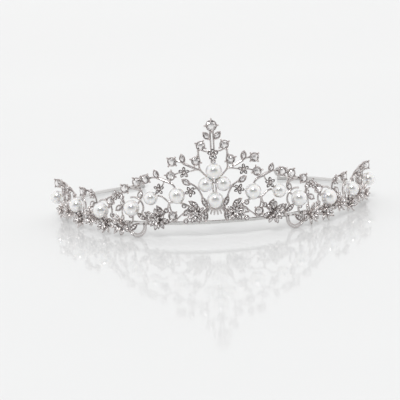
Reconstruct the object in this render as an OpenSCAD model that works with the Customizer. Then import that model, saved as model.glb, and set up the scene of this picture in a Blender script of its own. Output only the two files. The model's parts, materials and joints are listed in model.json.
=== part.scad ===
// Bridal tiara: an open wire headband with a decorated front half.
// Millimetres. +Z is up, the front faces -Y and the origin is at the
// middle of the underside, where the tiara stands on a table.
//
// Every motif is placed on the "wall", the upright surface that follows the
// headband. A place on the wall is [s, h, out]: s is the distance along the
// band from the front centre, h the height above the band's underside and
// out the distance in front of the band's centre line. The right half is
// written out and the left half is its mirror image.

/* [Headband] */
// Radius of the front arc of the headband
front_radius = 72.5; // [60:0.5:85]
// Half angle of the front arc, in degrees
front_half_angle = 68; // [50:1:85]
// Radius of each rear arm
arm_radius = 48; // [35:0.5:65]
// Turn of each rear arm, in degrees
arm_turn = 98; // [60:1:105]
// Height of the flat band wire
band_height = 1.7; // [0.8:0.1:2.5]
// How far the band reaches below the base line of the decoration
band_drop = 0.4; // [0:0.1:1]
// Thickness of the flat band wire
band_thickness = 1.5; // [0.8:0.1:2.5]
// Bevel on the edges of the band wire
band_bevel = 0.3; // [0.1:0.05:0.5]

/* [Eyelets] */
// Bore of the eyelet that ends each arm
eyelet_bore = 2.4; // [1.5:0.1:4]
// Wire thickness of the eyelet
eyelet_wire = 1.2; // [0.8:0.1:2]

/* [Wires] */
// Diameter of the scroll wires
wire_d = 0.9; // [0.6:0.05:1.5]
// Diameter of the fine wires
fine_wire_d = 0.7; // [0.5:0.05:1.2]
// Thickness of the straight rods and of the cap under the pearl
rod_d = 1.1; // [0.8:0.05:1.6]
// How far in front of the band's centre line the wires lie
wire_out = 0.5; // [0:0.1:1.5]

/* [Stones] */
// Diameter of the round stone at the tip
tip_stone_d = 4.2; // [3:0.1:6]
// Diameter of the other large round stones
round_stone_d = 3.4; // [2:0.1:5]
// Length of the short marquise stones
leaf_length = 3.3; // [2.5:0.1:5]
// Width of the short marquise stones
leaf_width = 2.0; // [1.5:0.1:3]
// Length of the long marquise stones
blade_length = 4.2; // [3:0.1:6]
// Width of the long marquise stones
blade_width = 1.8; // [1.2:0.1:3]
// Wall of the stone settings
setting_wall = 0.35; // [0.2:0.05:0.8]
// How far the claw beads stand outside a round stone's edge
claw_reach = 0.95; // [0.5:0.05:1.5]
// How far the last round stone is turned to the front
end_stone_turn = 35; // [0:5:60]

/* [Pearls] */
// Diameter of the large pearls
large_pearl_d = 7.2; // [5:0.1:10]
// Diameter of the medium pearls
medium_pearl_d = 6.6; // [4:0.1:9]
// Diameter of the peg that each pearl is glued to
peg_d = 0.8; // [0.5:0.1:1.2]
// How far in front of the band's centre line the pearls sit
pearl_out = 3.9; // [3:0.1:6]

/* [Stance] */
// How far the foot scrolls reach below the band
foot_drop = 5.9; // [3:0.1:10]
// Distance along the band to each foot scroll
foot_s = 36; // [25:1:50]

/* [Hidden] */
$fn = 32;
metal = [0.78, 0.78, 0.80];
bright = [0.88, 0.88, 0.90];
crystal = [0.80, 0.88, 0.95];
ivory = [0.96, 0.94, 0.89];

front_length = front_radius * front_half_angle * PI / 180;
arm_length = arm_radius * arm_turn * PI / 180;
tip_s = front_length + arm_length;
tube_sides = 6;
foot_out = band_thickness / 2 + fine_wire_d / 2 - 0.05;
eyelet_h = eyelet_bore / 2 + eyelet_wire + 1.2;

// Turn of the wall at s, in degrees from facing straight forward.
function heading(s) = s <= front_length
    ? s / front_radius * 180 / PI
    : front_half_angle + (s - front_length) / arm_radius * 180 / PI;

// Centre line of the band at s, seen from above.
function band_x(s) = s <= front_length
    ? front_radius * sin(heading(s))
    : front_radius * sin(front_half_angle)
      + arm_radius * (sin(heading(s)) - sin(front_half_angle));
function band_y(s) = s <= front_length
    ? front_radius * (1 - cos(heading(s)))
    : front_radius * (1 - cos(front_half_angle))
      + arm_radius * (cos(front_half_angle) - cos(heading(s)));

function outward(s) = [sin(heading(s)), -cos(heading(s)), 0];
function place(s, h, out = 0) = [band_x(s), band_y(s), h] + out * outward(s);

// The tiara stands on the two foot scrolls and the two arm tips.
foot_y = place(foot_s, 0, foot_out)[1];
heel_y = place(tip_s, 0, band_thickness / 2)[1];
tilt = atan((foot_drop - band_drop) / (heel_y - foot_y));
lift = heel_y * sin(tilt) + band_drop * cos(tilt);

// Sets the tiara on the table.
module posed() {
    translate([0, y_shift, lift]) rotate([-tilt, 0, 0]) children();
}

module left() {
    mirror([1, 0, 0]) children();
}

// Puts a motif on the wall: its own X runs along the band, Y up, Z outward.
module on_wall(s, h, out = 0, turn = 0) {
    translate(place(s, h, out)) rotate([90, 0, heading(s)])
        rotate([0, 0, turn]) children();
}

// ---------------------------------------------------------------- wires

function unit(v) = v / norm(v);

function blend(a, b, c, d, t) = 0.5 * (2 * b + (c - a) * t
    + (2 * a - 5 * b + 4 * c - d) * t * t + (3 * b - a - 3 * c + d) * t * t * t);

// Smooth curve through wall places, with a few steps between each two.
function smooth(path, steps) = let (n = len(path) - 1) concat(
    [for (i = [0 : n - 1], j = [0 : steps - 1])
        blend(path[max(i - 1, 0)], path[i], path[i + 1], path[min(i + 2, n)], j / steps)],
    [path[n]]);

// Round wire through wall places given as [s, h, out].
module wire(path, d = wire_d, steps = 3) {
    spots = smooth(path, steps);
    axis = [for (q = spots) place(q[0], q[1], q[2])];
    n = len(axis);
    skin = [for (i = [0 : n - 1])
        let (along = unit(axis[min(i + 1, n - 1)] - axis[max(i - 1, 0)]),
             side = unit(cross(along, outward(spots[i][0]))),
             face = cross(side, along))
        for (j = [0 : tube_sides - 1])
            axis[i] + d / 2 * (cos(360 * j / tube_sides) * face
                               + sin(360 * j / tube_sides) * side)];
    function at(i, j) = i * tube_sides + j % tube_sides;
    polyhedron(points = skin, faces = concat(
        [[for (j = [0 : tube_sides - 1]) j]],
        [for (i = [0 : n - 2], j = [0 : tube_sides - 1]) [at(i, j), at(i + 1, j), at(i + 1, j + 1)]],
        [for (i = [0 : n - 2], j = [0 : tube_sides - 1]) [at(i, j), at(i + 1, j + 1), at(i, j + 1)]],
        [[for (j = [tube_sides - 1 : -1 : 0]) (n - 1) * tube_sides + j]]));
}

// Wire bent round a centre on the wall, from angle a to angle b.
function bend(s, h, r, a, b, out, count = 7) =
    [for (i = [0 : count]) let (t = a + (b - a) * i / count)
        [s + r * cos(t), h + r * sin(t), out]];

// ------------------------------------------------- stones and settings

// Round stone, girdle at zero, table outward.
module round_stone(d) {
    rotate_extrude()
        polygon([[0, -0.42 * d], [d / 2, -0.02 * d], [d / 2, 0.02 * d],
                 [0.3 * d, 0.16 * d], [0, 0.16 * d]]);
}

// Open cone that holds a round stone, with four beads on flared claws.
module round_setting(d, claws = 4, first = 45) {
    cup_r = d / 2 + setting_wall;
    base_z = -0.34 * d;
    rise = -base_z + 0.02 * d;
    run = d / 2 + claw_reach - 0.30 * d;
    rotate_extrude()
        polygon([[0.10 * d, -0.50 * d], [0.24 * d, -0.50 * d], [cup_r, -0.14 * d],
                 [cup_r, -0.02 * d], [d / 2 - 0.1, -0.04 * d], [0.10 * d, -0.38 * d]]);
    for (k = [0 : claws - 1]) rotate([0, 0, first + 360 * k / claws])
        translate([0.30 * d, 0, base_z]) {
            rotate([0, atan2(run, rise), 0]) cylinder(r = 0.28, h = norm([run, rise]));
            translate([run, 0, rise]) sphere(r = 0.42);
        }
}

// Pointed oval blank: two round discs that cross. The rim sits at zero.
module oval_blank(length, width, below, above, draft_below = 0, draft_above = 0) {
    r = (length * length + width * width) / (4 * width);
    intersection_for (side = [-1, 1])
        translate([0, side * (r - width / 2), 0])
            rotate_extrude($fn = 96)
                polygon([[0, -below], [r - draft_below, -below], [r, 0],
                         [r - draft_above, above], [0, above]]);
}

// Marquise stone lying along its own X.
module oval_stone(length, width) {
    oval_blank(length, width, 0.30 * width, 0.18 * width, 0.32 * width, 0.16 * width);
}

// Pointed oval cup with a raised rim and a bead on each point.
module oval_setting(length, width) {
    w = setting_wall;
    difference() {
        oval_blank(length + 3 * w, width + 2 * w, 0.45 * width, 0.10, 0.05, 0.05);
        translate([0, 0, 0.02]) oval_blank(length, width, 0.30 * width, 1, 0.32 * width, -0.05);
    }
    for (side = [-1, 1]) translate([side * (length / 2 + 1.1 * w), 0, 0])
        sphere(r = 0.36);
}

// Flower plate: petal backs round a hub. Each petal carries one stone.
module petals(count, reach, size, first = 90) {
    w = setting_wall / 2;
    for (k = [0 : count - 1]) rotate([0, 0, first + 360 * k / count])
        translate([reach, 0, 0]) oval_blank(size[0] + 3 * w, size[1] + 2 * w, 0.6, 0, 0.15, 0);
    translate([0, 0, -1.4]) cylinder(r = reach - size[0] / 2 + 0.35, h = 1.7);
}

module petal_stones(count, reach, size, first = 90) {
    for (k = [0 : count - 1]) rotate([0, 0, first + 360 * k / count])
        translate([reach + 0.2, 0, 0]) oval_blank(size[0] - 0.3, size[1], 0, 0.45, 0, 0.3);
}

// ---------------------------------------------------- places on the wall

// Large round stones of the right half: [s, h, first claw angle, how far in front of the
// others]. Two ride on a spray's hub. The last one leans out.
round_spots = [[5.0, 34.3, 30, 0], [7.3, 27.8, 20, 0], [17.6, 27.8, 40, 0], [18.5, 21.6, 10, 0],
               [30.0, 20.3, 30, 0], [34.4, 18.9, 50, 0], [40.6, 15.8, 45, 0], [18.6, 4.0, 45, 0],
               [49.0, 9.8, 20, 0], [67.4, 12.6, 45, 0], [52.4, -0.6, 25, 1.3],
               [70.6, 0.2, 50, 1.3], [83.9, 8.2, 0, 0], [96.0, 13.0, 45, 1.5]];
function is_end(spot) = spot == round_spots[len(round_spots) - 1];
function round_out(spot) = stone_out + spot[3];
function round_turn(spot) = is_end(spot) ? -end_stone_turn : 0;
// Short marquise stones of the right half: [s, h, turn]
leaf_spots = [[2.3, 38.4, 50], [13.0, 28.9, 80], [12.0, 18.7, 35], [25.0, 22.4, 70],
              [33.0, 13.2, -70], [60.8, 7.4, -50], [12.4, 5.4, -38], [44.4, 7.0, -35]];
// Long marquise stones of the right half: [s, h, turn]
blade_spots = [[4.6, 9.6, 66], [9.2, 8.9, 35], [4.5, 3.5, -88], [24.2, 6.4, 57],
               [33.0, 3.6, 34], [37.4, -1.4, -36], [88.6, 10.4, 80]];
// Small round stones of the right half: [s, h]
small_spots = [[13.0, 1.6], [13.4, 8.4], [21.4, 1.6], [21.4, 6.4], [29.8, 4.9], [38.4, 3.8],
               [42.6, 11.8], [42.4, 9.4], [48.7, 3.4], [58.0, 4.2], [76.8, 9.8],
               [75.2, 6.0], [84.5, 12.4], [93.6, 8.4], [90.0, 6.8]];
// Small flowers of the right half: [s, h, first petal angle]
flower_spots = [[12.6, 23.0, 90], [10.3, 14.6, 60], [24.0, 16.0, 90], [45.2, 12.8, 70],
                [60.4, 12.2, 90], [80.6, 11.8, 60], [92.0, 12.9, 90], [97.6, 0.8, 90]];
// Leaf sprays along the band, right half: [s, h, first petal angle, scale]
spray_spots = [[8.6, 4.9, -60, 1], [25.5, 2.6, 80, 1.15], [43.6, -0.3, 64, 1.15],
               [52.4, -0.6, 90, 1], [61.4, 2.0, 70, 1.06], [70.6, 0.2, 95, 1],
               [79.6, 2.6, 75, 1.06], [88.8, 1.4, 90, 1]];
// Pearls of the right half: [s, h, diameter]
pearl_spots = [[15.8, 13.3, large_pearl_d], [27.2, 12.3, medium_pearl_d - 0.4],
               [36.4, 7.7, large_pearl_d], [52.9, 5.7, large_pearl_d],
               [70.0, 6.4, medium_pearl_d], [97.0, 6.2, medium_pearl_d]];
// Pearls of the centre column: [s, h, diameter]; s is to the right
top_pearl = [0, 23.4, large_pearl_d];
bottom_pearl = [0, 10.8, large_pearl_d];
inner_pearl = [3.65, 17.7, medium_pearl_d];
tip_h = 42.8;
star_h = 30.4;
bead_h = 27.2;

stone_out = 1.9;
flower_petal = [1.5, 1.1];
flower_reach = 1.45;
spray_petal = [3.0, 1.4];
spray_reach = 2.75;
small_stone_d = 1.9;

// The origin is midway between the bottom pearl and the eyelets.
front_y = bottom_pearl[1] * sin(tilt) - pearl_out * cos(tilt) - large_pearl_d / 2;
rear_y = band_y(tip_s) * cos(tilt) + eyelet_h * sin(tilt) + 1.0;
y_shift = -(front_y + rear_y) / 2;
flower_count = 5;
spray_count = 7;

// --------------------------------------------------------------- metal

module band_section() {
    a = band_thickness / 2;
    b = band_bevel;
    top = band_height - band_drop;
    low = -band_drop;
    polygon([[-a + b, low], [a - b, low], [a, low + b], [a, top - b],
             [a - b, top], [-a + b, top], [-a, top - b], [-a, low + b]]);
}

module headband_half() {
    translate([0, front_radius, 0]) rotate([0, 0, -90])
        rotate_extrude(angle = front_half_angle, $fn = 180)
            translate([front_radius, 0]) band_section();
    translate([band_x(front_length) - arm_radius * sin(front_half_angle),
               band_y(front_length) + arm_radius * cos(front_half_angle), 0])
        rotate([0, 0, front_half_angle - 90])
            rotate_extrude(angle = arm_turn, $fn = 180)
                translate([arm_radius, 0]) band_section();
}

module headband() {
    color(metal) posed() {
        headband_half();
        left() headband_half();
    }
}

// Upright ring on a short neck at the end of an arm.
module eyelet() {
    color(metal) posed() on_wall(tip_s - 0.9, eyelet_h, 0) difference() {
        union() {
            translate([0, 0, -eyelet_wire / 2])
                cylinder(r = eyelet_bore / 2 + eyelet_wire, h = eyelet_wire);
            translate([-0.6, 0.8 - eyelet_h, -eyelet_wire / 2])
                cube([1.2, eyelet_h - eyelet_bore / 2 - 1.2, eyelet_wire]);
        }
        translate([0, 0, -eyelet_wire]) cylinder(d = eyelet_bore, h = 2 * eyelet_wire);
    }
}

// Twin wires from the arch to the tip, with the bars that carry the pearls.
module centre_stem() {
    color(metal) posed() {
        for (side = [-1, 1]) translate([side * 0.65, -wire_out, 6.0])
            cylinder(d = fine_wire_d, h = tip_h - 8.0);
        translate([-4.2, -wire_out, inner_pearl[1]]) rotate([0, 90, 0])
            cylinder(d = wire_d, h = 8.4);
        for (h = [bottom_pearl[1], top_pearl[1], bead_h, star_h, tip_h - 2.4])
            translate([-1.1, -wire_out - 0.5, h - 0.5]) cube([2.2, 1.0, 1.0]);
    }
}

// Arch over the gap in the middle of the band, the cap under the pearl and the rays.
module centre_arch() {
    rise = [[6.6, 0.9, 0.5], [6.3, 3.6, 0.5], [4.8, 5.9, 0.7], [2.8, 6.5, 1.0], [0.8, 6.2, 1.2]];
    cap_h = bottom_pearl[1] - 0.5;
    cap_r = large_pearl_d / 2 + 0.4;
    color(metal) posed() {
        wire(rise);
        left() wire(rise);
        wire(bend(0, cap_h, cap_r, 215, 325, 2.0), rod_d);
        translate([-1.0, -2.2, 5.75]) cube([2.0, 2.2, 0.8]);
        for (a = [-35, -21, -7, 7, 21, 35]) translate([0, -1.5, cap_h]) rotate([0, a, 0])
            translate([0, 0, -cap_r - 2.6]) cylinder(r1 = 0.30, r2 = 0.45, h = 2.7);
    }
}

module lyre_wire() {
    color(metal) posed() {
        wire([[3.4, 5.0, 0.5], [4.6, 9.0, 0.5], [5.6, 12.2, 0.5], [7.4, 15.8, 0.5],
              [9.6, 17.5, 0.5], [12.0, 18.7, 0.7]]);
        wire([[7.2, 15.6, 0.5], [8.8, 15.5, 0.5], [10.3, 14.6, 0.7]], fine_wire_d);
    }
}

module ogive_wire() {
    color(metal) posed() {
        wire([[0.9, 18.8, 0.5], [3.6, 21.2, 0.5], [6.0, 24.2, 0.5], [5.9, 27.8, 0.5],
              [6.2, 31.2, 0.5], [5.2, 33.9, 0.7]]);
        wire([[5.6, 32.8, 0.5], [3.2, 31.6, 0.5], [0.8, 31.8, 0.5]], fine_wire_d);
        wire([[0.8, 36.4, 0.5], [1.6, 37.1, 0.5], [2.6, 38.4, 0.7]], fine_wire_d);
    }
}

// Two branches that leave the ogive for the upper stones.
module branch_wire() {
    color(metal) posed() {
        wire([[5.6, 23.4, 0.5], [8.6, 24.8, 0.5], [12.4, 26.8, 0.5], [15.2, 27.8, 0.5],
              [17.6, 27.8, 0.5]]);
        wire([[6.9, 23.9, 0.8], [13.0, 26.9, 0.8]], rod_d);
        wire([[12.4, 26.7, 0.5], [12.8, 28.0, 0.5], [13.0, 29.4, 0.6]], fine_wire_d);
        wire([[6.6, 24.0, 0.5], [9.4, 23.4, 0.5], [12.6, 23.0, 0.5], [15.4, 22.6, 0.5],
              [18.5, 21.6, 0.5]], fine_wire_d);
    }
}

// Arc under the first side pearl, its node and the legs down to the band.
module arc_wire() {
    color(metal) posed() {
        wire([[8.2, 3.2, 0.5], [10.6, 7.2, 0.5], [14.0, 9.2, 0.5], [17.4, 9.8, 0.5],
              [20.2, 10.0, 0.5], [23.0, 12.2, 0.5], [25.0, 12.8, 0.5], [27.2, 12.3, 0.5]]);
        wire([[20.2, 10.0, 0.5], [20.8, 7.6, 0.5], [22.6, 5.0, 0.5], [24.9, 2.4, 0.6]]);
        wire([[9.0, 6.1, 3.0], [11.6, 3.5, 2.2], [14.3, 1.0, 1.0]], fine_wire_d);
        wire([[20.2, 10.0, 0.5], [19.8, 7.0, 0.5], [18.6, 4.0, 0.5], [17.8, 0.8, 0.5]], fine_wire_d);
        wire([[11.2, 7.6, 0.5], [14.2, 4.9, 0.6], [17.4, 2.2, 0.5], [20.4, 0.8, 0.5]], fine_wire_d);
    }
}

// Scroll that rises behind the first side pearl to the two round stones.
module rising_scroll() {
    color(metal) posed() {
        wire([[15.4, 9.4, 0.5], [15.8, 13.3, 0.5], [17.8, 17.2, 0.5], [21.2, 19.6, 0.5],
              [25.6, 20.9, 0.5], [30.0, 20.3, 0.5], [34.0, 18.7, 0.5]]);
        wire([[18.0, 17.9, 0.8], [24.3, 20.5, 0.8]], rod_d);
        wire([[24.6, 20.6, 0.5], [24.8, 21.6, 0.5], [25.0, 22.6, 0.6]], fine_wire_d);
        wire([[21.8, 19.9, 0.5], [22.4, 17.8, 0.5], [24.0, 16.0, 0.5]], fine_wire_d);
    }
}

// Scroll that falls from them behind the third pearl, with its side branch.
module falling_scroll() {
    color(metal) posed() {
        wire([[34.2, 18.5, 0.5], [33.0, 14.0, 0.5], [34.0, 10.4, 0.5], [36.4, 7.7, 0.5],
              [37.8, 4.4, 0.5], [38.2, 0.8, 0.5]]);
        wire([[32.9, 15.0, 0.5], [36.6, 16.4, 0.5], [40.6, 15.8, 0.5], [43.0, 13.8, 0.5],
              [45.2, 12.8, 0.5], [49.0, 9.8, 0.5], [51.0, 6.6, 0.5], [52.9, 5.7, 0.5]]);
        wire([[32.4, 15.2, 0.8], [38.2, 16.2, 0.8]], rod_d);
        wire([[43.2, 13.6, 0.5], [42.4, 9.6, 0.5], [43.6, 5.2, 0.5], [43.2, 0.8, 0.6]], fine_wire_d);
    }
}

// Double loop that hangs from the band as a foot, with the wire that comes down to it.
module foot_scroll() {
    outer = foot_drop / 2 + 2.05;
    color(metal) posed() on_wall(foot_s, outer - foot_drop, foot_out)
        for (r = [outer - fine_wire_d / 2, outer - 1.4]) rotate([0, 0, 155])
            rotate_extrude(angle = 230) translate([r, 0]) circle(d = fine_wire_d, $fn = 20);
    color(metal) posed()
        wire([[foot_s - 4.6, 0.4, 1.1], [foot_s - 5.4, 2.8, 1.0], [foot_s - 4.2, 5.6, 0.8]]);
}

// Posts that carry the outer pearls and stones.
module outer_wires() {
    color(metal) posed() {
        wire([[52.8, 0.8, 0.5], [53.2, 3.2, 0.5], [52.9, 5.7, 0.5]]);
        wire([[58.2, 0.8, 0.5], [58.0, 4.4, 0.5], [58.8, 8.4, 0.5], [60.4, 12.2, 0.5],
              [63.8, 13.2, 0.5], [67.4, 12.6, 0.5], [70.2, 9.4, 0.5], [70.0, 6.4, 0.5],
              [69.6, 3.4, 0.5], [70.0, 0.8, 0.5]]);
        wire([[58.8, 8.4, 0.5], [59.8, 8.0, 0.5], [60.8, 7.4, 0.6]], fine_wire_d);
    }
}

// Posts and scroll at the end of the decoration.
module end_wires() {
    color(metal) posed() {
        wire([[75.8, 0.8, 0.5], [75.2, 5.0, 0.5], [76.4, 9.2, 0.5], [80.6, 11.8, 0.5],
              [84.4, 12.6, 0.5], [88.4, 13.4, 0.5], [92.0, 13.8, 0.9], [96.0, 13.0, 2.0],
              [97.8, 9.8, 1.2], [97.0, 6.2, 0.5], [96.6, 3.2, 0.5], [97.6, 0.8, 0.5]]);
        wire([[84.4, 12.6, 0.5], [84.6, 8.4, 0.5], [84.2, 4.4, 0.5], [84.6, 0.8, 0.5]], fine_wire_d);
        wire([[88.8, 13.4, 0.5], [88.6, 10.4, 0.6], [89.6, 6.6, 0.5], [88.6, 1.6, 0.6]], fine_wire_d);
        wire([[92.0, 13.6, 0.5], [92.6, 10.0, 0.5], [94.6, 7.0, 0.5], [97.0, 6.2, 0.5]], fine_wire_d);
    }
}

// Curls round three of the side pearls, each led down to the band.
module pearl_curls() {
    color(metal) posed() {
        wire(concat(bend(36.4, 7.7, 4.5, 70, 215, 1.6), [[32.0, 3.4, 1.0], [30.0, 0.8, 0.5]]),
             steps = 2);
        wire(concat(bend(52.9, 5.7, 4.5, 40, 215, 1.6), [[48.4, 2.4, 1.0], [47.6, 0.8, 0.5]]),
             steps = 2);
        wire(concat(bend(70.0, 6.4, 4.2, 110, 215, 1.6), [[65.8, 2.8, 1.0], [65.0, 0.8, 0.5]]),
             steps = 2);
    }
}

// Cup and peg behind one pearl.
module pearl_post(spot) {
    r = spot[2] / 2;
    on_wall(spot[0], spot[1], 0.2) {
        cylinder(d = 1.5, h = pearl_out - r - 0.2);
        translate([0, 0, pearl_out - r - 0.4]) cylinder(r1 = 0.9, r2 = 1.5, h = 0.55);
        cylinder(d = peg_d, h = pearl_out - 0.2 + 0.6);
    }
}

module centre_posts() {
    color(bright) posed() {
        pearl_post(top_pearl);
        pearl_post(bottom_pearl);
        pearl_post(inner_pearl);
        left() pearl_post(inner_pearl);
    }
}

module side_posts() {
    color(bright) posed() for (spot = pearl_spots) pearl_post(spot);
}

// ------------------------------------------------------ stones and pearls

module pearl(spot) {
    on_wall(spot[0], spot[1], pearl_out) difference() {
        sphere(d = spot[2], $fn = 48);
        translate([0, 0, -spot[2]]) cylinder(d = peg_d + 0.1, h = spot[2] + 0.8);
        translate([0, 0, -spot[2] / 2 - 0.4]) cylinder(r1 = 0.95, r2 = 1.58, h = 0.6);
    }
}

module side_pearls() {
    color(ivory) posed() for (spot = pearl_spots) pearl(spot);
}

module round_settings() {
    color(bright) posed() for (spot = round_spots)
        on_wall(spot[0], spot[1], round_out(spot)) rotate([0, round_turn(spot), 0])
            round_setting(round_stone_d, 4, spot[2]);
}

module round_stones() {
    color(crystal) posed() for (spot = round_spots)
        on_wall(spot[0], spot[1], round_out(spot)) rotate([0, round_turn(spot), 0])
            translate([0, 0, 0.02]) round_stone(round_stone_d);
}

module small_settings() {
    color(bright) posed() for (spot = small_spots) on_wall(spot[0], spot[1], 0.1)
        cylinder(d1 = 1.2, d2 = small_stone_d + 0.5, h = 1.5);
}

module small_stones() {
    color(crystal) posed() for (spot = small_spots)
        on_wall(spot[0], spot[1], 1.6) cylinder(d1 = small_stone_d, d2 = 1.1, h = 0.4);
}

module leaf_settings() {
    color(bright) posed() {
        for (spot = leaf_spots) on_wall(spot[0], spot[1], stone_out - 0.2, spot[2])
            oval_setting(leaf_length, leaf_width);
        for (spot = blade_spots) on_wall(spot[0], spot[1], stone_out - 0.2, spot[2])
            oval_setting(blade_length, blade_width);
    }
}

module leaf_stones() {
    color(crystal) posed() {
        for (spot = leaf_spots) on_wall(spot[0], spot[1], stone_out - 0.16, spot[2])
            oval_stone(leaf_length, leaf_width);
        for (spot = blade_spots) on_wall(spot[0], spot[1], stone_out - 0.16, spot[2])
            oval_stone(blade_length, blade_width);
    }
}

module flowers() {
    color(bright) posed() for (spot = flower_spots)
        on_wall(spot[0], spot[1], stone_out) petals(flower_count, flower_reach, flower_petal, spot[2]);
}

module flower_stones() {
    color(crystal) posed() for (spot = flower_spots)
        on_wall(spot[0], spot[1], stone_out)
            petal_stones(flower_count, flower_reach, flower_petal, spot[2]);
}

module sprays() {
    color(bright) posed() for (spot = spray_spots)
        on_wall(spot[0], spot[1], stone_out)
            petals(spray_count, spot[3] * spray_reach, spot[3] * spray_petal, spot[2]);
}

module spray_stones() {
    color(crystal) posed() for (spot = spray_spots)
        on_wall(spot[0], spot[1], stone_out)
            petal_stones(spray_count, spot[3] * spray_reach, spot[3] * spray_petal, spot[2]);
}

module tip_setting() {
    color(bright) posed() on_wall(0, tip_h, stone_out) round_setting(tip_stone_d, 4, 0);
}

module tip_stone() {
    color(crystal) posed() on_wall(0, tip_h, stone_out + 0.02) round_stone(tip_stone_d);
}

module centre_flower() {
    color(bright) posed() {
        on_wall(0, star_h, stone_out) petals(flower_count, flower_reach, flower_petal);
        on_wall(0, bead_h, 0.6) cylinder(d = 1.6, h = 1.0);
    }
}

module centre_flower_stones() {
    color(crystal) posed() {
        on_wall(0, star_h, stone_out) petal_stones(flower_count, flower_reach, flower_petal);
        on_wall(0, bead_h, 1.6) round_stone(1.5);
    }
}

// --------------------------------------------------------------- output

headband();
eyelet();  // eyelet_right
left() eyelet();  // eyelet_left
centre_stem();
centre_arch();
lyre_wire();  // lyre_right
left() lyre_wire();  // lyre_left
ogive_wire();  // ogive_right
left() ogive_wire();  // ogive_left
branch_wire();  // branch_right
left() branch_wire();  // branch_left
arc_wire();  // arc_right
left() arc_wire();  // arc_left
rising_scroll();  // rising_scroll_right
left() rising_scroll();  // rising_scroll_left
falling_scroll();  // falling_scroll_right
left() falling_scroll();  // falling_scroll_left
foot_scroll();  // foot_scroll_right
left() foot_scroll();  // foot_scroll_left
outer_wires();  // outer_wires_right
left() outer_wires();  // outer_wires_left
end_wires();  // end_wires_right
left() end_wires();  // end_wires_left
pearl_curls();  // pearl_curls_right
left() pearl_curls();  // pearl_curls_left
centre_posts();
side_posts();  // side_posts_right
left() side_posts();  // side_posts_left
tip_setting();
tip_stone();
centre_flower();
centre_flower_stones();
round_settings();  // round_settings_right
left() round_settings();  // round_settings_left
round_stones();  // round_stones_right
left() round_stones();  // round_stones_left
small_settings();  // small_settings_right
left() small_settings();  // small_settings_left
small_stones();  // small_stones_right
left() small_stones();  // small_stones_left
leaf_settings();  // leaf_settings_right
left() leaf_settings();  // leaf_settings_left
leaf_stones();  // leaf_stones_right
left() leaf_stones();  // leaf_stones_left
flowers();  // flowers_right
left() flowers();  // flowers_left
flower_stones();  // flower_stones_right
left() flower_stones();  // flower_stones_left
sprays();  // sprays_right
left() sprays();  // sprays_left
spray_stones();  // spray_stones_right
left() spray_stones();  // spray_stones_left
color(ivory) posed() pearl(top_pearl);  // pearl_top
color(ivory) posed() pearl(bottom_pearl);  // pearl_bottom
color(ivory) posed() pearl(inner_pearl);  // pearl_inner_right
left() color(ivory) posed() pearl(inner_pearl);  // pearl_inner_left
side_pearls();  // pearls_right
left() side_pearls();  // pearls_left
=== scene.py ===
import json
import math

import bpy
import numpy as np
from mathutils import Matrix, Vector


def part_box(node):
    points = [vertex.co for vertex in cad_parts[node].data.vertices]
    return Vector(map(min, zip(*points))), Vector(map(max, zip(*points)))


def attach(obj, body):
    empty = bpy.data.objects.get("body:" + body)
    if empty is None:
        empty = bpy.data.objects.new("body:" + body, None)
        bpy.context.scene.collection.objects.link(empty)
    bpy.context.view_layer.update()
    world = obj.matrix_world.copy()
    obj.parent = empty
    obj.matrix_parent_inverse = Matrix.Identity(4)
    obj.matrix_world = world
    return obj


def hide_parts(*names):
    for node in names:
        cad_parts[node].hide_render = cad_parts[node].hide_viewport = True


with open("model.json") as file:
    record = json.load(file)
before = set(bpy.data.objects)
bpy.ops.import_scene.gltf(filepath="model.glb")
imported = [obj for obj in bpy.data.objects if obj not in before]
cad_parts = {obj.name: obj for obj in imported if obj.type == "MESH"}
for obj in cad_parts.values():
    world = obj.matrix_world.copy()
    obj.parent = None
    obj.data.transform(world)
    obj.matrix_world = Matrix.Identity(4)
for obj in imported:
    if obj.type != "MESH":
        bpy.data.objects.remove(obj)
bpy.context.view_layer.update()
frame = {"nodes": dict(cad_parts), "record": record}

MM = 0.001
RANDOM = np.random.default_rng(11)
SIDES = ("_right", "_left")
SLOTS = {part["node"]: part["material_slot"] for part in frame["record"]["subparts"]}

# Everything is placed by the CAD's own solids and shaped in millimetres. A node's solids are found
# in the frame, and each one gives the place, direction and size of the stone or pearl built there.


# ------------------------------------------- where the CAD's solids lie

# A solid whose least spread is under this share of the next one has its flat side outward.
FLAT = 0.6


class Spot:
    """Where one solid lies: its middle, its own axes with Z outward, and its size, in millimetres."""

    def __init__(self, corners):
        a, b, c = corners[:, 0], corners[:, 1], corners[:, 2]
        volume = np.einsum("ij,ij->i", a, np.cross(b, c)) / 6
        total = a + b + c
        middle = (volume[:, None] * total).sum(0) / 4 / volume.sum()
        spread = sum(np.einsum("i,ij,ik->jk", volume, p, p) for p in (a, b, c, total)) / 20
        spread -= volume.sum() * np.outer(middle, middle)
        values, vectors = np.linalg.eigh(spread)
        axes = vectors.T[::-1]
        outward = np.array([middle[0], middle[1], 0.0])
        is_flat = values[0] < FLAT * values[1]
        k = 2 if is_flat else int(np.argmax(np.abs(axes @ outward)))
        z = axes[k] * np.sign(axes[k] @ outward)
        x = axes[1 if k == 0 else 0]
        self.axes = np.array([x, np.cross(z, x), z])
        points = corners.reshape(-1, 3)
        local = points @ self.axes.T
        self.low, self.high = local.min(0), local.max(0)
        self.size = self.high - self.low
        self.at = (self.low + self.high) / 2 @ self.axes
        self.points = points

    def turned_to(self, point):
        """The same spot with its own X towards a point."""
        along = point - self.at
        z = self.axes[2]
        along = along - (along @ z) * z
        x = along / np.linalg.norm(along)
        self.axes = np.array([x, np.cross(z, x), z])
        return self

    def place(self, shape, lift=0.0):
        """The shape moved from its own frame to this spot, lifted along the spot's Z."""
        return shape.moved(self.axes, self.at + lift * self.axes[2])


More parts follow.
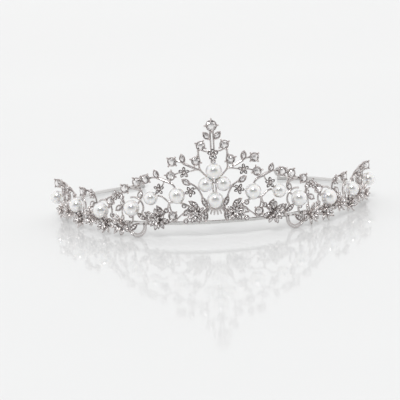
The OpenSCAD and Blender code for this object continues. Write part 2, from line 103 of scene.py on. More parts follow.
def solids(node):
    """A spot for each separate solid of a CAD node."""
    mesh = frame["nodes"][node].data
    mesh.calc_loop_triangles()
    points = np.array([v.co for v in mesh.vertices]) / MM
    triangles = np.array([t.vertices for t in mesh.loop_triangles])
    _, same = np.unique(np.round(points, 3), axis=0, return_inverse=True)
    linked = same.ravel()[triangles]
    group = np.arange(linked.max() + 1)
    while True:
        lowest = group[linked].min(1)
        joined = group.copy()
        for k in range(3):
            np.minimum.at(joined, linked[:, k], lowest)
        if (joined == group).all():
            break
        group = joined
    owner = group[linked[:, 0]]
    return [Spot(points[triangles[owner == g]]) for g in np.unique(owner)]


def nearest(spot, others):
    """The one of the other spots that lies nearest to this one."""
    return min(others, key=lambda o: np.linalg.norm(o.at - spot.at))


# ------------------------------------------------ shapes in millimetres

class Shape:
    """Points and faces. Each face is smooth or a facet, and has a tone from 0 to 1: the amount of painted
    shade on metal, or how light a stone's facet is painted.
    """

    def __init__(self):
        self.points, self.faces, self.smooth, self.tones = [], [], [], []
        self.count = 0

    def add(self, points, faces, smooth=True, tone=0.0):
        self.points.append(np.asarray(points, float))
        self.faces += [tuple(i + self.count for i in face) for face in faces]
        self.smooth += [smooth] * len(faces)
        self.tones += [tone] * len(faces)
        self.count += len(points)
        return self

    def join(self, *others):
        for o in others:
            self.points += o.points
            self.faces += [tuple(i + self.count for i in face) for face in o.faces]
            self.smooth += o.smooth
            self.tones += o.tones
            self.count += o.count
        return self

    def moved(self, axes=np.eye(3), at=(0, 0, 0)):
        """A copy whose own axes become the rows of axes, and whose origin goes to at."""
        new = Shape().join(self)
        new.points = [p @ axes + np.asarray(at) for p in self.points]
        return new

    def changed(self, change):
        """A copy with its points passed through a function of an array."""
        new = Shape().join(self)
        new.points = [change(p) for p in self.points]
        return new


def turn(x=0.0, y=0.0, z=0.0):
    """Axes turned by angles in degrees about X, then Y, then Z."""
    steps = [Matrix.Rotation(math.radians(a), 3, k) for a, k in ((x, "X"), (y, "Y"), (z, "Z"))]
    return np.array(steps[2] @ steps[1] @ steps[0]).T


def ring(length, width, height=0.0, count=24, shift=0.0):
    """Points of a pointed oval, anticlockwise. Equal length and width make a circle."""
    r = (length ** 2 + width ** 2) / (4 * width)
    reach = math.asin(min(1.0, length / (2 * r)))
    t = reach - 2 * reach * (np.arange(count // 2) + shift) / (count // 2)
    half = np.stack([r * np.sin(t), r * np.cos(t) - (r - width / 2)], 1)
    flat = np.concatenate([half, -half])
    return np.column_stack([flat, np.full(len(flat), height)])


def skin(rings, tone=0.0):
    """Solid through a row of rings, closed at both ends."""
    n, last = len(rings[0]), len(rings) - 1
    faces = [tuple(range(n - 1, -1, -1)), tuple(last * n + k for k in range(n))]
    for i in range(last):
        for k in range(n):
            a, b = i * n + k, i * n + (k + 1) % n
            faces.append((a, b, b + n, a + n))
    return Shape().add(np.concatenate(rings), faces, tone=tone)


def lathe(profile, count=24, tone=0.0):
    """Solid of revolution about Z through (radius, height) points, from the bottom up."""
    return skin([ring(2 * r, 2 * r, z, count) for r, z in profile], tone=tone)


POLE = 1.48


def ball(r, at=(0, 0, 0), count=12, tone=0.0):
    """Ball whose poles are closed by tiny flats, a little short of the full quarter turn."""
    angles = np.linspace(-math.pi / 2, math.pi / 2, count // 2 + 1)
    angles[0], angles[-1] = -POLE, POLE
    return lathe([(r * math.cos(a), r * math.sin(a)) for a in angles], count, tone).moved(at=at)


def tube(path, radii, count=10, side=(0, 1, 0), tone=0.0):
    """Round bar along a path that lies in the plane across side."""
    path = np.asarray(path, float)
    along = np.gradient(path, axis=0)
    along /= np.linalg.norm(along, axis=1)[:, None]
    across = np.cross(side, along)
    t = np.linspace(0, 2 * math.pi, count, endpoint=False)[:, None]
    return skin([p + r * (np.cos(t) * n + np.sin(t) * np.asarray(side, float))
                 for p, r, n in zip(path, radii, across)], tone=tone)


TABLE = 0.58
STAR = 0.80
STAR_RISE = 0.62


def gem(length, width, rise, depth, count=8):
    """Cut stone: one table, star, kite and girdle facets, and a cone of facets below.
    The girdle is at zero. TABLE and STAR are the sizes of the upper outlines beside the girdle's."""
    n, edge = count, 0.02 * width
    points = np.concatenate([ring(TABLE * length, TABLE * width, rise, n),
                             ring(STAR * length, STAR * width, STAR_RISE * rise, n, 0.5),
                             ring(length, width, edge, 2 * n),
                             ring(length, width, -edge, 2 * n),
                             [[0, 0, -depth]]])
    star, girdle, below, culet = n, 2 * n, 4 * n, 6 * n
    facets = []
    for i in range(n):
        j, g, h = (i + 1) % n, girdle + 2 * i, girdle + (2 * i + 2) % (2 * n)
        facets += [(i, star + i, j), (j, star + i, h, star + j)]
        facets += [(star + i, g, g + 1), (star + i, g + 1, h)]
    for g in range(2 * n):
        h = (g + 1) % (2 * n)
        facets += [(girdle + g, below + g, below + h, girdle + h), (below + g, culet, below + h)]
    return Shape().add(points, [tuple(range(n))] + facets, smooth=False)


def beads(outline, r):
    """A grain of metal at each point of an outline."""
    grain = ball(r, count=6)
    return Shape().join(*[grain.moved(at=p) for p in outline])


# ------------------------------------------------------- jeweller's parts

WALL = 0.35
INNER = 42.0
OUTER_SPREAD = 1.28
PETAL_WALL = 0.17
PETAL_DEPTH = 0.55
SMALL_WALL = 0.24
CLAW_REACH = 0.80
CLAW_BEAD = 0.45
POINT_BEAD = 0.36
GRAIN = 0.13
FINE_GRAIN = 0.09

# Tones on metal are painted shade, from 0, unshaded and bright, to 1, as dark as a shaded recess: (outside,
# rim) of a setting.
STONE_TONES = (0.55, 0.40)
# Deep painted shade for the flowers near the centre.
DARK_TONES = (1.0, 0.9)
# Little painted shade for those further out, which are painted lighter.
LIGHT_TONES = (0.2, 0.0)


def cup(length, width, wall, depth, tip=1.0, count=24, tones=STONE_TONES):
    """Setting with a rounded rim and a floor. tip is how much faster its points grow than its sides,
    and tones are the painted shade of its outside and its rim."""
    def at(outside, height):
        return ring(length + 2 * tip * outside, width + 2 * outside, height, count)
    hollow = 0.22 * width
    body = [at(-hollow, -depth), at(-0.5 * hollow, -0.96 * depth), at(wall, -0.32 * depth)]
    rim = [at(wall - 0.03, -0.34 * depth), at(wall + 0.03, -0.26 * depth), at(wall + 0.04, 0.00),
           at(wall - 0.02, 0.09), at(wall - 0.12, 0.12), at(0.05, 0.07), at(-0.03, -0.02),
           at(-hollow, -0.25 * depth)]
    return skin(body, tone=tones[0]).join(skin(rim, tone=tones[1]))


def claw(d):
    """Claw that rises from the cup, flares past the stone and ends in a bead, with a hook that
    holds the stone's edge."""
    edge = d / 2
    path = [(0.30 * d, 0, -0.36 * d), (edge + 0.15, 0, -0.26 * d), (edge + 0.55, 0, -0.12 * d),
            (edge + CLAW_REACH, 0, 0.02 * d)]
    hook = [(edge + 0.30, 0, -0.16 * d), (edge + 0.30, 0, 0.00), (edge + 0.12, 0, 0.09 * d),
            (edge - 0.22, 0, 0.12 * d)]
    # Painted shade: the claw's bar has tone 0.5 and its hook 0.2.
    return (tube(path, [0.34, 0.30, 0.25, 0.24], tone=0.5)
            .join(tube(hook, [0.26, 0.24, 0.20, 0.13], tone=0.2),
                  ball(CLAW_BEAD, (edge + CLAW_REACH, 0, 0.02 * d))))


def round_setting(d, claws=4):
    """Cup, grained rim and flared claws round a stone of diameter d, first claw along X."""
    rim = d + 2 * WALL - 0.1
    shape = cup(d, d, WALL, 0.50 * d).join(beads(ring(rim, rim, 0.10, 24), GRAIN))
    for k in range(claws):
        shape.join(claw(d).moved(turn(z=360 * k / claws)))
    return shape


def leaf_setting(length, width):
    """Pointed cup with a grained rim and a bead on each point."""
    shape = cup(length, width, WALL, 0.45 * width, tip=1.5)
    shape.join(beads(ring(length + 3 * WALL - 0.2, width + 2 * WALL - 0.14, 0.12, 28), 0.12))
    for side in (-1, 1):
        shape.join(ball(POINT_BEAD, (side * (length / 2 + 1.1 * WALL), 0, 0.02)))
    return shape


def small_setting(d, depth):
    """Tube setting with four grains that hold a small stone."""
    rim = d / 2 + SMALL_WALL
    profile = [(0.30 * d, -depth), (0.34 * d, -0.8 * depth), (rim - 0.05, -0.25 * depth), (rim, 0.0),
               (rim - 0.06, 0.08), (d / 2 + 0.02, 0.06), (d / 2 - 0.1, -0.08)]
    # Painted shade: the tube setting has tone 0.3.
    shape = lathe(profile, 20, tone=0.3)
    for k in range(4):
        t = math.radians(45 + 90 * k)
        shape.join(ball(0.20, (0.54 * d * math.cos(t), 0.54 * d * math.sin(t), 0.12), count=8))
    return shape


def petal(length, width, grained, tones):
    """One petal's cup and its stone, both along X from the petal's middle."""
    metal = cup(length, width, PETAL_WALL, PETAL_DEPTH, tip=1.5, count=16, tones=tones)
    if grained:
        rim = ring(length + 3 * PETAL_WALL - 0.1, width + 2 * PETAL_WALL - 0.08, 0.08, 14)
        metal.join(beads(rim, FINE_GRAIN))
    stone = gem(length - 0.1, width - 0.08, 0.40, 0.35, 6).moved(at=(0, 0, 0.06))
    return metal, stone


def petal_layer(parts, size, count, reach, first, lift=0.0, pitch=0.0, wander=3.0, grained=False,
                tones=LIGHT_TONES):
    """Adds a ring of petals, each tipped up by about pitch degrees and wandering a little."""
    shapes = petal(size[0], size[1], grained, tones)
    for k in range(count):
        jitter = RANDOM.uniform(-1, 1, 4) * wander
        axes = turn(x=2 * jitter[0], y=-(pitch + jitter[1]), z=first + 360 * k / count + jitter[2])
        at = np.array([reach * (1 + jitter[3] / 60), 0, 0]) @ axes + np.array([0, 0, lift])
        for part, shape in zip(parts, shapes):
            part.join(shape.moved(axes, at))


def hub(r):
    """Domed middle of a flower."""
    # Painted shade: the hub has tone 0.3.
    return lathe([(0.8 * r, -1.4), (0.9 * r, -0.9), (r, -0.4), (0.9 * r, 0.05), (0.5 * r, 0.2),
                  (0.1, 0.22)], 20, tone=0.3)


def centre_stone(parts, d, rise, depth, cup_depth, height):
    """Adds a small stone in its cup at a height above a flower's hub."""
    metal, stone = parts
    metal.join(small_setting(d, cup_depth).moved(at=(0, 0, height)))
    stone.join(gem(d, d, rise, depth, 6).moved(at=(0, 0, height + 0.05)))


def flower(spot, group, bushy, crowned):
    """Metal and stones of one flower or spray whose CAD stones are group, at the spot they share.
    The ones near the centre get deep painted shade, and those further out get little painted shade and are
    more spread.
    A bushy one has two more layers of petals, and a crowned one a large round stone on its hub."""
    parts = Shape(), Shape()
    count = len(group)
    length, width = group[0].size[0] + 0.3, group[0].size[1]
    reach = np.linalg.norm(group[0].at - spot.at) - 0.2
    is_inner = abs(spot.at[0]) < INNER
    # Painted shade: deep near the centre, little further out.
    tones = DARK_TONES if is_inner else LIGHT_TONES
    spread = 1.0 if is_inner else OUTER_SPREAD
    parts[0].join(hub(reach - length / 2 + 0.35))
    petal_layer(parts, (length, width), count, reach, 0, pitch=4, grained=True, tones=tones)
    if bushy:
        petal_layer(parts, (0.95 * length, 0.75 * width), count, 0.86 * spread * reach, 180 / count,
                    lift=0.15, pitch=27, wander=7.0, tones=tones)
        petal_layer(parts, (0.75 * length, 0.85 * width), 6, 0.62 * spread * reach, 20,
                    lift=0.65, pitch=50, wander=9.0, tones=tones)
    if bushy and not crowned:
        centre_stone(parts, 1.3, 0.3, 0.5, 1.0, 1.35)
    elif not bushy:
        centre_stone(parts, 0.9, 0.2, 0.4, 0.8, 0.50)
    return parts


def shared_spot(group):
    """The spot at the hub of a ring of petal stones, its X towards the first one."""
    middle = np.mean([g.at for g in group], 0)
    normal = np.mean([g.axes[2] for g in group], 0)
    spot = Spot(group[0].points.reshape(-1, 3, 3))
    z = normal / np.linalg.norm(normal)
    spot.at = middle - group[0].size[2] / 2 * z
    spot.axes = np.array([z, z, z])
    return spot.turned_to(group[0].at)


PEARL_HOLE = 0.45
PEARL_SEAT = 1.5
HOLE_END = 0.8
UNEVEN = 0.0012


def pearl(diameter):
    """Drilled pearl, very slightly out of round, with its hole and seat at the back."""
    r = diameter / 2
    start = math.asin(PEARL_SEAT / r)
    arc = np.linspace(start, math.pi - 0.02, 44)
    inside = [(0.02, HOLE_END), (PEARL_HOLE, HOLE_END), (PEARL_HOLE, -r + 0.35),
              (PEARL_SEAT - 0.1, -r * math.cos(start) + 0.1)]
    profile = inside + [(r * math.sin(a), -r * math.cos(a)) for a in arc]
    phase = RANDOM.uniform(0, 6.28, 6)

    def uneven(p):
        wave = sum(np.sin(f * p[:, i] / r + phase[k]) for k, (f, i) in
                   enumerate([(2, 0), (2, 1), (3, 2), (5, 0), (4, 1), (6, 2)]))
        return p * (1 + UNEVEN * wave)[:, None]
    return lathe(profile, 56).changed(uneven)


# -------------------------------------------------------------- materials

class Tree:
    """A node tree that is built by short calls."""

    def __init__(self, owner):
        owner.use_nodes = True
        owner.node_tree.nodes.clear()
        self.tree = owner.node_tree

    def add(self, kind, values=None, **settings):
        node = self.tree.nodes.new(kind)
        for name, value in settings.items():
            setattr(node, name, value)
        for key, value in (values or {}).items():
            if isinstance(value, bpy.types.NodeSocket):
                self.tree.links.new(value, node.inputs[key])
            else:
                node.inputs[key].default_value = value
        return node

    def noise(self, scale, detail=3.0, vector=None):
        vector = vector or self.add("ShaderNodeTexCoord").outputs["Object"]
        values = {"Vector": vector, "Scale": scale, "Detail": detail}
        return self.add("ShaderNodeTexNoise", values).outputs["Fac"]

    def ramp(self, factor, *stops):
        """Colour ramp through (place, colour) stops."""
        node = self.add("ShaderNodeValToRGB", {"Fac": factor})
        while len(node.color_ramp.elements) < len(stops):
            node.color_ramp.elements.new(0.5)
        for element, (place, colour) in zip(node.color_ramp.elements, stops):
            element.position = place
            element.color = (*colour, 1)
        return node.outputs["Color"]

    def between(self, factor, low, high):
        """A factor from 0 to 1 stretched from low to high."""
        return self.add("ShaderNodeMapRange", {"Value": factor, "To Min": low, "To Max": high}).outputs[0]

    def step(self, value, start, end):
        """Smooth step from 0 at start to 1 at end."""
        return self.add("ShaderNodeMapRange", {"Value": value, "From Min": start, "From Max": end},
                        interpolation_type="SMOOTHSTEP").outputs[0]

    def math(self, operation, a, b):
        return self.add("ShaderNodeMath", {0: a, 1: b}, operation=operation).outputs[0]

    def mix(self, factor, a, b):
        node = self.add("ShaderNodeMix", data_type="RGBA")
        for key, value in ((0, factor), (6, a), (7, b)):
            if isinstance(value, bpy.types.NodeSocket):
                self.tree.links.new(value, node.inputs[key])
            else:
                node.inputs[key].default_value = value if key == 0 else (*value, 1)
        return node.outputs[2]

    def bump(self, height, distance, strength=1.0):
        values = {"Height": height, "Distance": distance, "Strength": strength}
        return self.add("ShaderNodeBump", values).outputs[0]


def material(name):
    m = bpy.data.materials.new(name)
    return m, Tree(m)


def metal_material(name, light, dark, rough, drawn=False, painted_rear_shade=None):
    """Bright plating with fine scratches and uneven polish, and painted shade: its colour is mixed towards
    the dark colour as far as each face's tone says, on recesses and the parts under stones.
    A colour given for behind the middle of the tiara is painted shade too: the plating is painted duller
    there."""
    m, t = material(name)
    where = t.add("ShaderNodeTexCoord").outputs["Object"]
    tone = t.add("ShaderNodeAttribute", attribute_name="tone").outputs["Fac"]
    cloud = t.noise(900, 4, where)
    grain = t.noise(6000, 2, where)
    polish_and_rear_shade = t.ramp(cloud, (0.30, tuple(0.86 * c for c in light)), (0.70, light))
    if painted_rear_shade:
        # Painted shade: behind the middle of the tiara the colour turns to the given duller colour.
        depth = t.add("ShaderNodeSeparateXYZ", {"Vector": where}).outputs["Y"]
        polish_and_rear_shade = t.mix(t.step(depth, 0.0, 20 * MM), polish_and_rear_shade, painted_rear_shade)
    # Painted shade: the colour is mixed towards dark by the tone, darkest in recesses and under stones.
    colour = t.mix(tone, polish_and_rear_shade, dark)
    stretch = (1, 1, 14) if drawn else (4, 1, 2)
    scratch = t.add("ShaderNodeMapping", {"Vector": where, "Scale": stretch}).outputs[0]
    lines = t.noise(1800, 3, scratch)
    uneven = t.math("MULTIPLY", cloud, lines)
    roughness = t.between(uneven, 0.6 * rough, 2.2 * rough)
    height = t.math("ADD", grain, lines)
    shader = t.add("ShaderNodeBsdfPrincipled", {
        "Base Color": colour, "Metallic": 1.0, "Roughness": roughness,
        "Normal": t.bump(height, 0.006 * MM, 0.6)})
    t.add("ShaderNodeOutputMaterial", {"Surface": shader.outputs[0]})
    return m


def crystal_material():
    """Foiled cut glass under a clear hard coat: each facet throws back light from its own direction, and each
    facet's colour is painted light or dark by its tone, painted reflections and sparkle.
    """
    m, t = material("cut_crystal")
    tone = t.add("ShaderNodeAttribute", attribute_name="tone").outputs["Fac"]
    tilt = t.add("ShaderNodeAttribute", attribute_name="tilt").outputs["Vector"]
    facing = t.add("ShaderNodeNewGeometry").outputs["Normal"]
    inner = t.add("ShaderNodeVectorMath", {0: facing, 1: tilt}, operation="ADD").outputs[0]
    inner = t.add("ShaderNodeVectorMath", {0: inner}, operation="NORMALIZE").outputs[0]
    # Painted reflections: each facet is painted from dark to bright by its tone.
    facet_painted_sparkle = t.ramp(tone, (0.0, (0.14, 0.125, 0.125)), (0.25, (0.42, 0.395, 0.39)),
                  (0.6, (0.90, 0.875, 0.865)), (1.0, (0.98, 0.97, 0.97)))
    cloud = t.noise(700, 2)
    colour = t.mix(t.between(cloud, 0.0, 0.25), facet_painted_sparkle, (0.86, 0.80, 0.80))
    shader = t.add("ShaderNodeBsdfPrincipled", {
        "Base Color": colour, "Metallic": 0.80, "Roughness": t.between(cloud, 0.02, 0.16), "Normal": inner,
        "IOR": 1.55, "Coat Weight": 0.6, "Coat Roughness": 0.02, "Coat IOR": 1.5})
    t.add("ShaderNodeOutputMaterial", {"Surface": shader.outputs[0]})
    return m


def pearl_material():
    """Ivory-white nacre: cloudy body colour, soft depth, a glossy skin and faint growth lines."""
    m, t = material("nacre")
    cloud = t.noise(220, 4)
    fine = t.noise(2400, 3)
    body = t.ramp(cloud, (0.25, (0.94, 0.93, 0.91)), (0.55, (0.97, 0.96, 0.955)), (0.80, (0.98, 0.97, 0.975)))
    shader = t.add("ShaderNodeBsdfPrincipled", {
        "Base Color": body, "Metallic": 0.60, "Roughness": t.between(fine, 0.05, 0.11), "IOR": 1.6,
        "Subsurface Weight": 0.50, "Subsurface Scale": 0.003, "Subsurface Radius": (1.0, 0.85, 0.7),
        "Coat Weight": 0.3, "Coat Roughness": 0.05, "Coat IOR": 1.6,
        "Normal": t.bump(fine, 0.004 * MM, 0.5)})
    t.add("ShaderNodeOutputMaterial", {"Surface": shader.outputs[0]})
    return m


# The band's duller colour behind the middle is painted shade.
BAND = metal_material("band_plating", (0.88, 0.87, 0.86), (0.5, 0.5, 0.5), 0.20, drawn=True,
                      painted_rear_shade=(0.72, 0.71, 0.70))
WIRE = metal_material("wire_plating", (0.70, 0.665, 0.655), (0.32, 0.30, 0.30), 0.20)
SETTING = metal_material("setting_plating", (0.68, 0.63, 0.615), (0.22, 0.198, 0.192), 0.15)
# A lighter copy of the same plating for the sprays: painted light where the sprays stand in their own shade.
SPRAY_LIT_PLATING = metal_material("spray_plating_lit", (0.88, 0.83, 0.81), (0.55, 0.51, 0.50), 0.20)
CRYSTAL = crystal_material()
NACRE = pearl_material()


# ----------------------------------------------------------------- pieces

def finish_piece(obj, finish, slot, *nodes):
    """Links a piece, gives it its material, hangs it from the root and hides the CAD nodes it stands for.
    slot is not used.
    """
    obj.data.materials.clear()
    obj.data.materials.append(finish)
    if obj.name not in bpy.context.scene.collection.objects:
        bpy.context.scene.collection.objects.link(obj)
    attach(obj, "root")
    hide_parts(*nodes)


SHARP = math.radians(50)


def make_piece(name, shape, finish, slot, *nodes, tilt=None):
    """A shape as a mesh in metres, with its tones, and where given the tilt of each facet's light."""
    mesh = bpy.data.meshes.new(name)
    mesh.from_pydata(np.concatenate(shape.points) * MM, [], shape.faces)
    mesh.polygons.foreach_set("use_smooth", shape.smooth)
    mesh.set_sharp_from_angle(angle=SHARP)
    tone = mesh.attributes.new("tone", "FLOAT", "FACE")
    tone.data.foreach_set("value", np.asarray(shape.tones, np.float32))
    if tilt is not None:
        mesh.attributes.new("tilt", "FLOAT_VECTOR", "FACE").data.foreach_set("vector", tilt.ravel())
    finish_piece(bpy.data.objects.new(name, mesh), finish, slot, *nodes)


def metal_piece(name, shape, *nodes, finish=None):
    make_piece(name, shape, finish or SETTING, "setting_metal", *nodes)


# Tables are painted this bright, a painted highlight.
TABLE_TONE = 0.95
TABLE_TILT = 0.10
FACET_TILT = 0.55


def stone_piece(name, shape, *nodes, darkest=0.0):
    """Stones. A table keeps its own direction and is painted bright, a painted highlight; the other facets
    scatter and are painted light or dark at random, no darker than darkest.
    """
    table = np.array([len(face) > 4 for face in shape.faces])
    count = len(table)
    # Painted highlight on tables, painted reflections at random on the other facets.
    shape.tones = np.where(table, TABLE_TONE, RANDOM.uniform(darkest, 1, count))
    tilt = np.where(table, TABLE_TILT, FACET_TILT)[:, None] * RANDOM.uniform(-1, 1, (count, 3))
    make_piece(name, shape, CRYSTAL, "crystal", *nodes, tilt=tilt)


# How much of a CAD stone's height lies above its girdle.
CROWN_SHARE = 0.16 / 0.58
OVAL_CROWN_SHARE = 0.18 / 0.48
# A leaf cup longer than this holds a row of small stones.
LONG_LEAF = 3.8
# A spray with a large round stone nearer than this carries it on its hub.
CROWN_REACH = 2.5


def round_stones(stone_node, setting_node, name):
    """Round stones with their claws, which point the way the CAD's claws point."""
    metal, stone = Shape(), Shape()
    settings = solids(setting_node)
    for spot in solids(stone_node):
        setting = nearest(spot, settings)
        flat = (setting.points - spot.at) @ spot.axes.T
        far = setting.points[np.argmax(np.hypot(flat[:, 0], flat[:, 1]))]
        spot.turned_to(far)
        d, lift = spot.size[0], spot.size[2] / 2 - CROWN_SHARE * spot.size[2]
        metal.join(spot.place(round_setting(d), lift))
        stone.join(spot.place(gem(d, d, CROWN_SHARE * spot.size[2], 0.4 * d, 8), lift))
    metal_piece(name + "_claws", metal, setting_node)
    stone_piece(name + "_cut", stone, stone_node)


def pave_row(length, width):
    """Metal and stones that fill a long leaf cup: three round stones in a row, with grains between."""
    metal, stone = Shape(), Shape()
    floor = [ring(0.9 * length, 0.9 * width, -0.4, 16), ring(length, width, -0.05, 16)]
    # Painted shade: the floor under the row of stones has tone 0.7.
    metal.join(skin(floor, tone=0.7))
    for place, d in ((-0.29, 0.60), (0.0, 0.80), (0.29, 0.60)):
        at = (place * length, 0, 0.12)
        stone.join(gem(d * width, d * width, 0.28, 0.4, 6).moved(at=at))
    for place in (-0.42, -0.15, 0.15, 0.42):
        for side in (-1, 1):
            metal.join(ball(0.17, (place * length, side * (0.36 - 0.5 * abs(place)) * width, 0.16), count=6))
    return metal, stone


def leaf_stones(side):
    """Pointed cups: the short ones hold one marquise stone, the long ones a row of round ones."""
    metal, stone = Shape(), Shape()
    for spot in solids("leaf_stones" + side):
        length, width, height = spot.size
        lift = height / 2 - OVAL_CROWN_SHARE * height
        metal.join(spot.place(leaf_setting(length, width), lift))
        if length > LONG_LEAF:
            for part, row in zip((metal, stone), pave_row(length, width)):
                part.join(spot.place(row, lift))
        else:
            cut = gem(length, width, OVAL_CROWN_SHARE * height + 0.1, 0.5 * width, 8)
            stone.join(spot.place(cut, lift + 0.05))
    metal_piece("leaf_cups" + side, metal, "leaf_settings" + side)
    stone_piece("leaf_cut" + side, stone, "leaf_stones" + side)


def small_stones(side):
    """Small round stones in tube settings."""
    metal, stone = Shape(), Shape()
    settings = solids("small_settings" + side)
    for spot in solids("small_stones" + side):
        d, height = spot.size[0], spot.size[2]
        metal.join(spot.place(small_setting(d, nearest(spot, settings).size[2]), -height / 2))
        stone.join(spot.place(gem(d, d, height, 0.5 * d, 6), -height / 2))
    metal_piece("small_cups" + side, metal, "small_settings" + side)
    stone_piece("small_cut" + side, stone, "small_stones" + side)


def flowers(plate_node, stone_node, bushy=False, rounds=()):
    """Every flower or spray of a node, built round the petal stones that belong to it. rounds are
    the large round stones that may sit on them. A stone alone on its plate isn't a petal."""
    metal, stone = Shape(), Shape()
    plates = solids(plate_node)
    groups = {}
    for s in solids(stone_node):
        groups.setdefault(id(nearest(s, plates)), []).append(s)
    for group in groups.values():
        if len(group) == 1:
            continue
        spot = shared_spot(group)
        crowned = any(np.linalg.norm(r.at - spot.at) < CROWN_REACH for r in rounds)
        parts = flower(spot, group, bushy, crowned)
        metal.join(spot.place(parts[0]))
        stone.join(spot.place(parts[1]))
    return metal, stone


def side_motifs(side):
    """The flowers and the fuller sprays of one side. The sprays are painted lighter: a lighter copy of the
    plating, and stone facets painted no darker than 0.35.
    """
    rounds = solids("round_stones" + side)
    # The sprays get the lighter painted plating and lighter painted stone facets.
    for kind, bushy, finish, darkest in (("flower", False, SETTING, 0.0), ("spray", True, SPRAY_LIT_PLATING, 0.35)):
        plates, stones = kind + "s" + side, kind + "_stones" + side
        metal, stone = flowers(plates, stones, bushy, rounds)
        metal_piece(kind + "_cups" + side, metal, plates, finish=finish)
        stone_piece(kind + "_cut" + side, stone, stones, darkest=darkest)


def centre_motif():
    """The flower above the centre pearls, with the small stone under it."""
    metal, stone = flowers("centre_flower", "centre_flower_stones")
    bead = max(solids("centre_flower_stones"), key=lambda s: s.size[2])
    metal.join(bead.place(small_setting(bead.size[0], 1.0), 0.1))
    stone.join(bead.place(gem(bead.size[0], bead.size[0], 0.35, 0.5, 8), 0.12))
    metal_piece("centre_flower_cups", metal, "centre_flower")
    stone_piece("centre_flower_cut", stone, "centre_flower_stones")


PEARL_NODES = ("pearl_top", "pearl_bottom", "pearl_inner_right", "pearl_inner_left",
               "pearls_right", "pearls_left")


def pearls():
    """The pearls, each turned so that its hole faces its post."""
    for node in PEARL_NODES:
        shape = Shape()
        for spot in solids(node):
            diameter = spot.size[0]
            centre = spot.at + (spot.size[2] / 2 - diameter / 2) * spot.axes[2]
            shape.join(pearl(diameter).moved(spot.axes, centre))
        make_piece(node + "_nacre", shape, NACRE, "pearl", node)


VOXEL = 0.11
SWELL = 0.045
WELD = 0.001


def soft_copy(node, name, finish, slot, rounds=5):
    """A CAD node remade as one rounded casting: its edges and joints flow like solder. The smoothing
    takes a little off the wire, and the swell puts it back."""
    mesh = frame["nodes"][node].data.copy()
    mesh.transform(Matrix.Scale(1 / MM, 4))
    obj = bpy.data.objects.new(name, mesh)
    bpy.context.scene.collection.objects.link(obj)
    obj.modifiers.new("weld", "WELD").merge_threshold = WELD
    remesh = obj.modifiers.new("remesh", "REMESH")
    remesh.mode, remesh.voxel_size, remesh.use_smooth_shade = "VOXEL", VOXEL, True
    smooth = obj.modifiers.new("smooth", "SMOOTH")
    smooth.factor, smooth.iterations = 0.6, rounds
    grow = obj.modifiers.new("grow", "DISPLACE")
    grow.strength, grow.mid_level = SWELL, 0.0
    solid = bpy.data.meshes.new_from_object(obj.evaluated_get(bpy.context.evaluated_depsgraph_get()))
    obj.modifiers.clear()
    obj.data = solid
    solid.transform(Matrix.Scale(MM, 4))
    finish_piece(obj, finish, slot, node)
    return obj


GRAIN_SPACING = 0.95
WIRE_GRAIN = 0.36
FACING = 0.97


def grain_wire(obj, name, node):
    """Grains of metal along the front of a wire, none nearer to another than GRAIN_SPACING."""
    chosen = []
    for v in obj.data.vertices:
        at, outward = np.array(v.co) / MM, Vector((v.co.x, v.co.y, 0)).normalized()
        is_front = v.normal.dot(outward) > FACING
        if is_front and all(np.linalg.norm(at - c) > GRAIN_SPACING for c in chosen):
            chosen.append(at)
    metal_piece(name, beads(chosen, WIRE_GRAIN), node)


def wires():
    """Wires, pearl posts and eyelets. The ogives carry grains."""
    for node in frame["nodes"]:
        slot = SLOTS[node]
        if slot == "wire_metal":
            wire = soft_copy(node, node + "_wire", WIRE, slot)
            if "ogive" in node:
                grain_wire(wire, node + "_grains", node)
        elif "posts" in node:
            soft_copy(node, node + "_cast", SETTING, slot)
        elif "eyelet" in node:
            soft_copy(node, node + "_ring", BAND, slot, rounds=8)


# ------------------------------------------------------ stage and camera

EYE_DISTANCE = 600 * MM
EYE_ELEVATION = math.radians(12.2)
EYE_YAW = math.radians(0.84)
EYE_ROLL = math.radians(3.2)
# The camera then turns by these, so that the tiara sits right of the middle and above it.
AIM_Y = math.radians(0.576)
AIM_X = math.radians(-0.846)
LENS = 119.8
SENSOR = 36


def make_camera():
    """Low and from the front, a touch from the left, and slightly rolled."""
    band_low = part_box("headband")[0]
    target = Vector((0, band_low.y + 25 * MM, 20 * MM))
    back = Vector((-math.sin(EYE_YAW) * math.cos(EYE_ELEVATION),
                   -math.cos(EYE_YAW) * math.cos(EYE_ELEVATION), math.sin(EYE_ELEVATION)))
    data = bpy.data.cameras.new("camera")
    data.sensor_width, data.lens = SENSOR, LENS
    camera = bpy.data.objects.new("camera", data)
    bpy.context.scene.collection.objects.link(camera)
    camera.location = target + back * EYE_DISTANCE
    level = (-back).to_track_quat("-Z", "Y").to_matrix()
    roll = Matrix.Rotation(-EYE_ROLL, 3, "Z")
    aim = Matrix.Rotation(AIM_Y, 3, "Y") @ Matrix.Rotation(AIM_X, 3, "X")
    camera.rotation_mode = "QUATERNION"
    camera.rotation_quaternion = (level @ roll @ aim).to_quaternion()
    bpy.context.scene.camera = camera
    bpy.context.scene.view_settings.view_transform = "Standard"


PATCH_TONE = 0.24
ROOM_TONE = 0.93
CEILING_TONE = 0.64


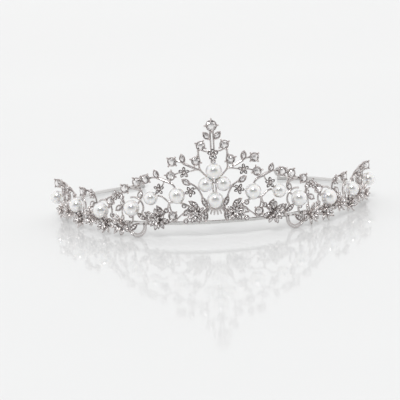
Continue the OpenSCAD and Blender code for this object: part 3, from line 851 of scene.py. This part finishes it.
def make_world():
    """Pale studio. In front, from just above the table to well up, is a wide grey patch, the dim side
    of the room, which gives the metal and the pearls something dark to show. Overhead is mid-grey."""
    w = bpy.data.worlds.new("studio")
    bpy.context.scene.world = w
    t = Tree(w)
    where = t.add("ShaderNodeTexCoord").outputs["Generated"]
    split = t.add("ShaderNodeSeparateXYZ", {"Vector": where})
    behind = t.step(split.outputs["Y"], -0.80, -0.35)
    low = t.step(split.outputs["Z"], 0.10, 0.00)
    high = t.step(split.outputs["Z"], 0.52, 0.80)
    bright = t.math("MAXIMUM", behind, low)
    tone = t.math("MAXIMUM", t.between(bright, PATCH_TONE, ROOM_TONE), t.math("MULTIPLY", high, CEILING_TONE))
    sky = t.add("ShaderNodeBackground", {"Color": (1, 1, 1, 1), "Strength": tone})
    t.add("ShaderNodeOutputWorld", {"Surface": sky.outputs[0]})


def table_material():
    """Off-white acrylic with a clear glossy skin, a little uneven in colour and gloss."""
    m, t = material("white_acrylic")
    cloud = t.noise(6, 2)
    shader = t.add("ShaderNodeBsdfPrincipled", {
        "Base Color": t.mix(cloud, (0.845, 0.850, 0.850), (0.855, 0.860, 0.860)),
        "Roughness": t.between(cloud, 0.45, 0.55), "Specular IOR Level": 0.1,
        "Coat Weight": 0.80, "Coat Roughness": 0.055, "Coat IOR": 1.45})
    t.add("ShaderNodeOutputMaterial", {"Surface": shader.outputs[0]})
    return m


TABLE_REACH = 6.0


def make_floor():
    """Plain table top that reaches far past the picture."""
    r = TABLE_REACH
    mesh = bpy.data.meshes.new("table")
    mesh.from_pydata([(-r, -r, 0), (r, -r, 0), (r, r, 0), (-r, r, 0)], [], [(0, 1, 2, 3)])
    obj = bpy.data.objects.new("table", mesh)
    bpy.context.scene.collection.objects.link(obj)
    mesh.materials.append(table_material())


KEY_STRENGTH = 0.90
KEY_SPREAD = math.radians(20)
KEY_DIRECTION = (0.10, 0.60, -0.79)


def make_key():
    """One round softbox in front and above, far enough away to light the whole table evenly."""
    data = bpy.data.lights.new("key", "SUN")
    data.energy, data.angle = KEY_STRENGTH, KEY_SPREAD
    obj = bpy.data.objects.new("key", data)
    bpy.context.scene.collection.objects.link(obj)
    obj.rotation_mode = "QUATERNION"
    obj.rotation_quaternion = Vector(KEY_DIRECTION).to_track_quat("-Z", "Y")


make_camera()
make_world()
make_floor()
make_key()
for side in SIDES:
    round_stones("round_stones" + side, "round_settings" + side, "round" + side)
    leaf_stones(side)
    small_stones(side)
round_stones("tip_stone", "tip_setting", "tip")
for side in SIDES:
    side_motifs(side)
centre_motif()
pearls()
wires()
frame["nodes"]["headband"].material_slots[0].material = BAND
